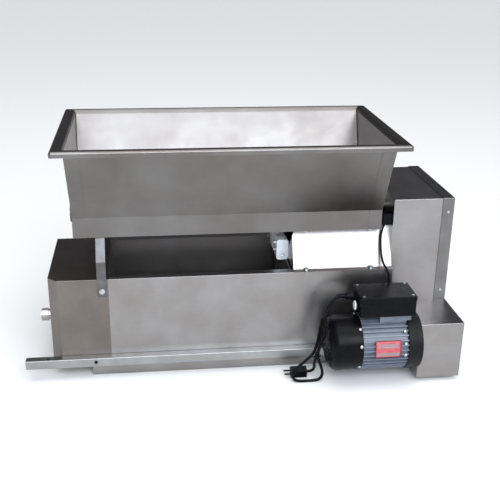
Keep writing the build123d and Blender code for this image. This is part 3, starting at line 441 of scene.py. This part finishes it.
foldedSheet = {
    "body_shell": dict(radius=1.5, shortest=30, arched=True),
    "stalk_casing": dict(radius=1.5, shortest=18, arched=True),
    "guard_housing": dict(radius=1.7, shortest=25),
    "guard_lid": dict(radius=1.6, shortest=20),
    "roller_box": dict(radius=1.6, shortest=25),
    "hopper_straps": dict(radius=0.9, shortest=15),
    "terminal_box": dict(radius=1.2, shortest=20),
    "front_rail": dict(radius=2.0, shortest=20),
    "rear_rail": dict(radius=2.0, shortest=20),
    "must_skirt": dict(radius=1.6, shortest=30),
    "roller_blocks": dict(radius=1.2, shortest=12),
}
for name, s in foldedSheet.items():
    foldedCopy(name, s)
print("folds rounded on", len(foldedSheet), "pieces")


# turned and pressed small pieces
sharpFrom = math.radians(35)


def meshPiece(name, shape, slot, bevel=0.0, finish=None):
    mesh = bpy.data.meshes.new(name)
    for face in shape.faces:
        face.smooth = True
    for edge in shape.edges:
        edge.smooth = len(edge.link_faces) == 2 and edge.calc_face_angle() < sharpFrom
    shape.to_mesh(mesh)
    shape.free()
    piece = bpy.data.objects.new(name, mesh)
    bpy.context.scene.collection.objects.link(piece)
    mesh.materials.append(finish or finishes[slot])
    if bevel:
        softEdge = piece.modifiers.new("softEdge", "BEVEL")
        softEdge.width = bevel * mm
        softEdge.segments = 2
        softEdge.limit_method = "ANGLE"
        softEdge.angle_limit = sharpFrom
    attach(piece, machineBody)
    return piece


def spun(profile, at, axis, turns=40):
    # profile: (along, radius) from the foot outwards; the axis points along
    shape = bmesh.new()
    turnTo = Vector(axis).to_track_quat("Z", "Y").to_matrix().to_4x4()
    frameAt = Matrix.Translation(place(at)) @ turnTo
    rings = []
    for along, radius in profile:
        if radius == 0:
            rings.append([shape.verts.new(frameAt @ Vector((0, 0, along * mm)))])
            continue
        ring = []
        for k in range(turns):
            angle = math.tau * k / turns
            spot = Vector((radius * math.cos(angle), radius * math.sin(angle), along)) * mm
            ring.append(shape.verts.new(frameAt @ spot))
        rings.append(ring)
    for low, high in zip(rings, rings[1:]):
        for k in range(turns):
            after = (k + 1) % turns
            around = [low[k % len(low)], low[after % len(low)], high[after % len(high)], high[k % len(high)]]
            corners = list(dict.fromkeys(around))
            if len(corners) > 2:
                shape.faces.new(corners)
    for ring in (rings[0], rings[-1]):
        if len(ring) > 2:
            shape.faces.new(ring)
    bmesh.ops.recalc_face_normals(shape, faces=shape.faces)
    return shape


# gland: collar at the box, domed cap, then a ribbed sleeve that thins towards the lead
gland = {
    "at": (330, -216, 238),
    "cap": [(0, 0.0), (0, 11.0), (3, 11.0), (3, 8.2), (12, 8.2), (12, 9.6), (22, 9.4), (25, 8.0)],
    "sleeveStart": 26.0, "sleeveLong": 24.0, "thick": 6.6, "thin": 4.5, "ribs": 6, "groove": 0.9,
    "nutAt": (327, -216, 238), "nutLong": 9.0, "nutRadius": 11.4,
}


def glandShape(s):
    profile = list(s["cap"])
    step = s["sleeveLong"] / (2 * s["ribs"])
    for k in range(s["ribs"]):
        radius = s["thick"] + (s["thin"] - s["thick"]) * k / s["ribs"]
        along = s["sleeveStart"] + 2 * k * step
        profile += [(along, radius), (along + step, radius)]
        profile += [(along + step, radius - s["groove"]), (along + 2 * step, radius - s["groove"])]
    profile += [(profile[-1][0], 0.0)]
    return spun(profile, s["at"], (-1, 0, 0))


glandSleeve = meshPiece("glandSleeve", glandShape(gland), "black_plastic")
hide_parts("cord_gland")
glandNut = [(0, 0), (0, gland["nutRadius"]), (gland["nutLong"], gland["nutRadius"]), (gland["nutLong"], 0)]
meshPiece("glandNut", spun(glandNut, gland["nutAt"], (-1, 0, 0), turns=6), "black_plastic", bevel=0.6)

# washers under the bolt heads that are seen from outside
washer = {
    "radius": 7.5, "thick": 1.3, "hole": 3.2, "bevel": 0.25,
    "strap": (-346.5, 163, 254), "chute": (152, 290), "chuteSpots": (207, 388),
}
washerShape = [
    (0, washer["hole"]), (0, washer["radius"]), (washer["thick"], washer["radius"]),
    (washer["thick"], washer["hole"]), (0, washer["hole"]),
]
strapX, strapY, strapZ = washer["strap"]
chuteY, chuteZ = washer["chute"]
for side in (-1, 1):
    strapWasher = spun(washerShape, (strapX, side * strapY, strapZ), (0, side, 0))
    meshPiece("strapWasher", strapWasher, "zinc_fastener", bevel=washer["bevel"])
    for x in washer["chuteSpots"]:
        chuteWasher = spun(washerShape, (x, side * chuteY, chuteZ), (0, 0, 1))
        meshPiece("chuteWasher", chuteWasher, "zinc_fastener", bevel=washer["bevel"])

# screws that hold the fan cover and the end shields on to the finned frame
motorAxis = {"y": -246.0, "z": 114.0, "radius": 76.0}
screws = {
    "pan": [(0, 0), (0, 4.6), (1.2, 4.6), (2.6, 3.6), (3.2, 2.0), (3.3, 0)], "sunk": 0.3,
    "rows": {331: (36, 72, 128, 164, 216, 308), 452: (136, 162, 186)},  # x: degrees round the motor
}
for x, row in screws["rows"].items():
    for degrees in row:
        out = Vector((0, math.cos(math.radians(degrees)), math.sin(math.radians(degrees))))
        spot = Vector((x, motorAxis["y"], motorAxis["z"])) + out * (motorAxis["radius"] - screws["sunk"])
        meshPiece("coverScrew", spun(screws["pan"], spot, out, turns=24), "zinc_fastener")

# rim of the drive end shield, which laps over the finned frame; its black is partly the shield's paint and
# partly painted shade for the dark band between the fins and the box
rim = {
    "x": 461, "profile": [(0, 75.0), (0, 77.2), (1.2, 78.2), (22, 78.2), (23, 77.2), (23, 75.0), (0, 75.0)],
}
rimShape = spun(rim["profile"], (rim["x"], motorAxis["y"], motorAxis["z"]), (1, 0, 0), turns=96)
meshPiece("shieldRim", rimShape, "motor_alloy", finish=ownFinishes["drive_end_shield"])

# black rubber plug in the rail's spare hole
plug = {"at": (-372, -184.8, 54), "profile": [(0, 0), (0, 4.6), (1.0, 4.6), (1.6, 3.4), (1.6, 0)]}
meshPiece("railPlug", spun(plug["profile"], plug["at"], (0, -1, 0)), "black_plastic")


# rating plate: border and blank fields, a little proud of the foil
inkThick = 0.12


def bentPatch(x0, x1, z0, z1, radius, steps=8):
    shape = bmesh.new()
    rows = []
    for k in range(steps + 1):
        z = z0 + (z1 - z0) * k / steps
        y = motorAxis["y"] - math.sqrt(radius ** 2 - (z - motorAxis["z"]) ** 2)
        rows.append([shape.verts.new(place((x, y, z))) for x in (x0, x1)])
    for low, high in zip(rows, rows[1:]):
        shape.faces.new((low[0], low[1], high[1], high[0]))
    bmesh.ops.solidify(shape, geom=shape.faces[:], thickness=inkThick * mm)
    return shape


plate = {"left": 368.0, "right": 438.0, "low": 101.0, "high": 148.0, "edge": 2.4, "radius": 77.15}
platePaper = mottled("paleInk", dict(
    dark="#b79da2", light="#c9b2b6", patch=6, grain=0.5, rough=0.4, bump=0.1, depth=0.02,
    metal=0.0, ior=1.5,
))
plateRed = mottled("redInk", dict(
    dark="#7e3038", light="#93404a", patch=6, grain=0.5, rough=0.4, bump=0.1, depth=0.02,
    metal=0.0, ior=1.5,
))
left, right, low, high, edge = (plate[key] for key in ("left", "right", "low", "high", "edge"))
plateFields = {
    "plateEdgeTop": (left, right, high - edge, high, plateRed),
    "plateEdgeFoot": (left, right, low, low + edge, plateRed),
    "plateEdgeLeft": (left, left + edge, low + edge, high - edge, plateRed),
    "plateEdgeRight": (right - edge, right, low + edge, high - edge, plateRed),
    "plateUpperField": (left + 8, right - 8, high - 19, high - 9, platePaper),
    "plateLowerField": (left + 5, right - 5, low + 5, low + 15, platePaper),
}
for name, (x0, x1, z0, z1, finish) in plateFields.items():
    meshPiece(name, bentPatch(x0, x1, z0, z1, plate["radius"]), "plate_foil", finish=finish)
print("small pieces made")


# leads
def newSpline(name, points):
    curve = bpy.data.curves.new(name, "CURVE")
    curve.dimensions = "3D"
    spline = curve.splines.new("NURBS")
    spline.points.add(len(points) - 1)
    for knot, point in zip(spline.points, points):
        knot.co = (*place(point), 1.0)
    spline.order_u = 3
    spline.use_endpoint_u = True
    return curve, spline


def curvePiece(name, points, radius, slot):
    curve, spline = newSpline(name, points)
    curve.resolution_u = 10
    curve.bevel_depth = radius * mm
    curve.bevel_resolution = 6
    curve.use_fill_caps = True
    piece = bpy.data.objects.new(name, curve)
    bpy.context.scene.collection.objects.link(piece)
    curve.materials.append(finishes[slot])
    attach(piece, machineBody)
    print(name, "is", round(spline.calc_length(), 4), "m long")
    return piece


mainsLead = {"radius": 4.0, "length": 0.80}  # length in metres
mainsRoute = [
    # out of the gland, over and down
    (304, -216, 238), (283, -216, 238), (264, -226, 225), (251, -238, 202), (241, -248, 174),
    (237, -252, 140), (232, -253, 106), (227, -253, 80),
    # down the right side, along the floor and up the left side of the teardrop
    (232, -254, 62), (240, -256, 42), (243, -257, 22), (236, -257, 7), (218, -257, 4.2), (198, -257, 4.2),
    (178, -257, 4.4), (162, -256, 10), (160, -254, 26), (170, -252, 42), (194, -248, 60), (217, -245, 80),
    # up behind, folded over and down again in front
    (228, -238, 104), (235, -230, 136), (239, -228, 166), (241, -237, 188), (243, -252, 193),
    (243, -267, 185), (240, -272, 164), (235, -270, 136), (228, -264, 106), (221, -258, 82),
    # across the middle of the teardrop to the plug
    (222, -250, 62), (222, -238, 44), (226, -227, 28), (222, -222, 16), (212, -222, 13.5), (204, -222, 13.5),
]
lead = curvePiece("mainsLead", mainsRoute, mainsLead["radius"], "cord_pvc")
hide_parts("power_cord", "cord_hank")

thinLead = {"radius": 3.0, "length": 0.19}
switchRoute = [
    (432, -108, 405), (427, -109, 391), (421, -115, 370), (419, -128, 346), (419, -142, 320),
    (421, -160, 304), (427, -174, 295), (433, -182, 279), (435, -182, 258), (435, -187, 240),
]
switchLead = curvePiece("switchLead", switchRoute, thinLead["radius"], "cord_pvc")
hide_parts("switch_cable")

tie = {"radius": 1.4}
tieRoute = [
    (214, -262, 79), (233, -262, 79), (236, -250, 79), (233, -239, 79), (214, -238, 79),
    (210, -250, 79), (214, -262, 79.5),
]
leadTie = curvePiece("leadTie", tieRoute, tie["radius"], "black_plastic")

print("leads laid")
